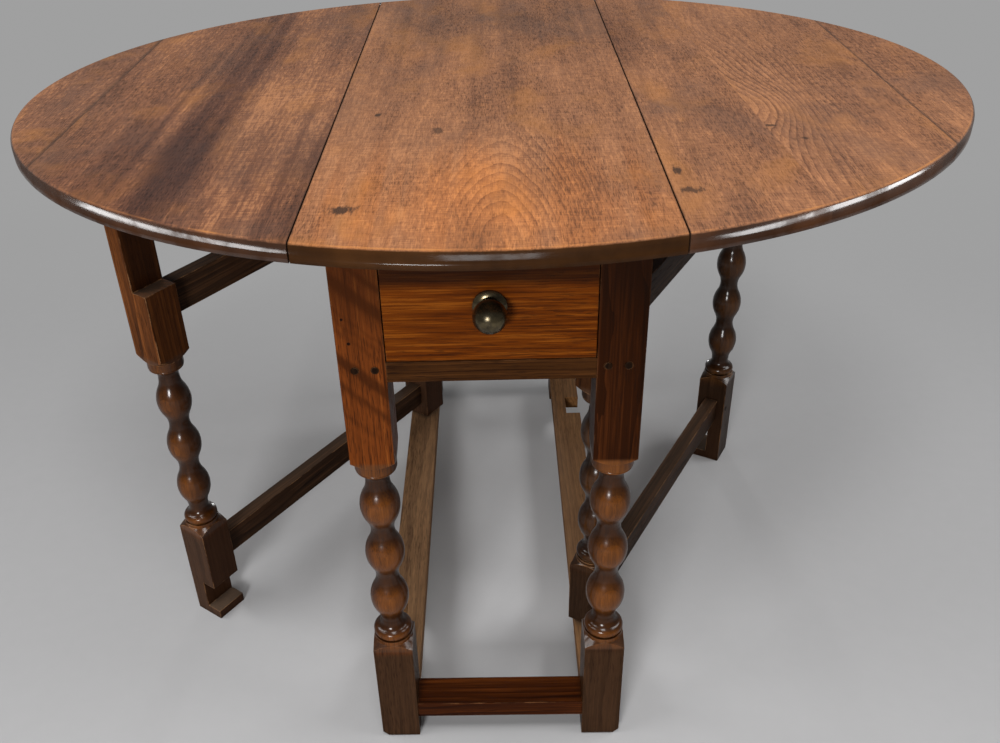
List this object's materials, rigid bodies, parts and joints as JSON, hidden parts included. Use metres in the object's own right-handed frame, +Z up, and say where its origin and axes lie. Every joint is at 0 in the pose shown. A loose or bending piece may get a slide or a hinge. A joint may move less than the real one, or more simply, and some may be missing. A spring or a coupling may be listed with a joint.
{
  "type": "gateleg dining table",
  "caption": "Oval oak gateleg dining table with drop leaves, bobbin-turned legs, swing gates and an end drawer.",
  "frame": {"origin": "on the floor under the middle of the open top", "axes": "+Z up, +X across the leaves to the right, +Y away from the drawer, which faces -Y"},
  "size_m": [1.126, 0.9618, 0.72],
  "materials": {
    "oak_top": "waxed, worn, warm mid brown",
    "oak_frame": "polished dark red brown",
    "oak_gate": "polished dark brown",
    "oak_drawer_front": "waxed golden brown",
    "oak_lining": "bare, dry",
    "oak_peg": "dark end grain",
    "brass": "dark patina, rubbed bright",
    "iron": "forged, dull"
  },
  "bodies": {
    "frame": {"centre_board": "oak_top", "frame_hinge_screws": "iron", "frame_pegs": "oak_peg", "front_drawer_rail": "oak_frame", "front_end_stretcher": "oak_frame", "front_left_leg": "oak_frame", "front_right_leg": "oak_frame", "left_drawer_runner": "oak_lining", "left_hinge_frame_plates": "iron", "left_hinge_pins": "iron", "left_side_rail": "oak_frame", "left_side_stretcher": "oak_frame", "rear_end_rail": "oak_frame", "rear_end_stretcher": "oak_frame", "rear_left_leg": "oak_frame", "rear_right_leg": "oak_frame", "right_drawer_runner": "oak_lining", "right_hinge_frame_plates": "iron", "right_hinge_pins": "iron", "right_side_rail": "oak_frame", "right_side_stretcher": "oak_frame", "top_dowels": "oak_peg"},
    "drawer": {"drawer_back": "oak_lining", "drawer_bottom": "oak_lining", "drawer_front": "oak_drawer_front", "drawer_knob": "brass", "drawer_left_side": "oak_lining", "drawer_right_side": "oak_lining", "knob_nut": "iron", "knob_rose": "brass", "knob_spindle": "iron"},
    "left_gate": {"left_gate_bottom_rail": "oak_gate", "left_gate_leg": "oak_gate", "left_gate_pegs": "oak_gate", "left_gate_post": "oak_gate", "left_gate_top_rail": "oak_gate"},
    "left_leaf": {"left_hinge_leaf_plates": "iron", "left_leaf_hinge_screws": "iron", "left_leaf_inner_board": "oak_top", "left_leaf_outer_board": "oak_top"},
    "right_gate": {"right_gate_bottom_rail": "oak_gate", "right_gate_leg": "oak_gate", "right_gate_pegs": "oak_gate", "right_gate_post": "oak_gate", "right_gate_top_rail": "oak_gate"},
    "right_leaf": {"right_hinge_leaf_plates": "iron", "right_leaf_hinge_screws": "iron", "right_leaf_inner_board": "oak_top", "right_leaf_middle_board": "oak_top", "right_leaf_outer_board": "oak_top"}
  },
  "joints": [
    {"name": "left_gate_swing", "type": "hinge", "parent": "frame", "child": "left_gate", "pos_m": [-0.127, 0.254, 0.3], "axis": [0, 0, -1], "range_deg": [-34.4, 15.6]},
    {"name": "right_gate_swing", "type": "hinge", "parent": "frame", "child": "right_gate", "pos_m": [0.127, -0.254, 0.3], "axis": [0, 0, -1], "range_deg": [-29.5, 20.5]},
    {"name": "left_leaf_lift", "type": "hinge", "parent": "frame", "child": "left_leaf", "pos_m": [-0.1713, 0, 0.6957], "axis": [0, 1, 0], "range_deg": [0, 3]},
    {"name": "right_leaf_lift", "type": "hinge", "parent": "frame", "child": "right_leaf", "pos_m": [0.1713, 0, 0.6957], "axis": [0, -1, 0], "range_deg": [0, 3]},
    {"name": "drawer_slide", "type": "slide", "parent": "frame", "child": "drawer", "axis": [0, -1, 0], "range_m": [0, 0.36]}
  ]
}
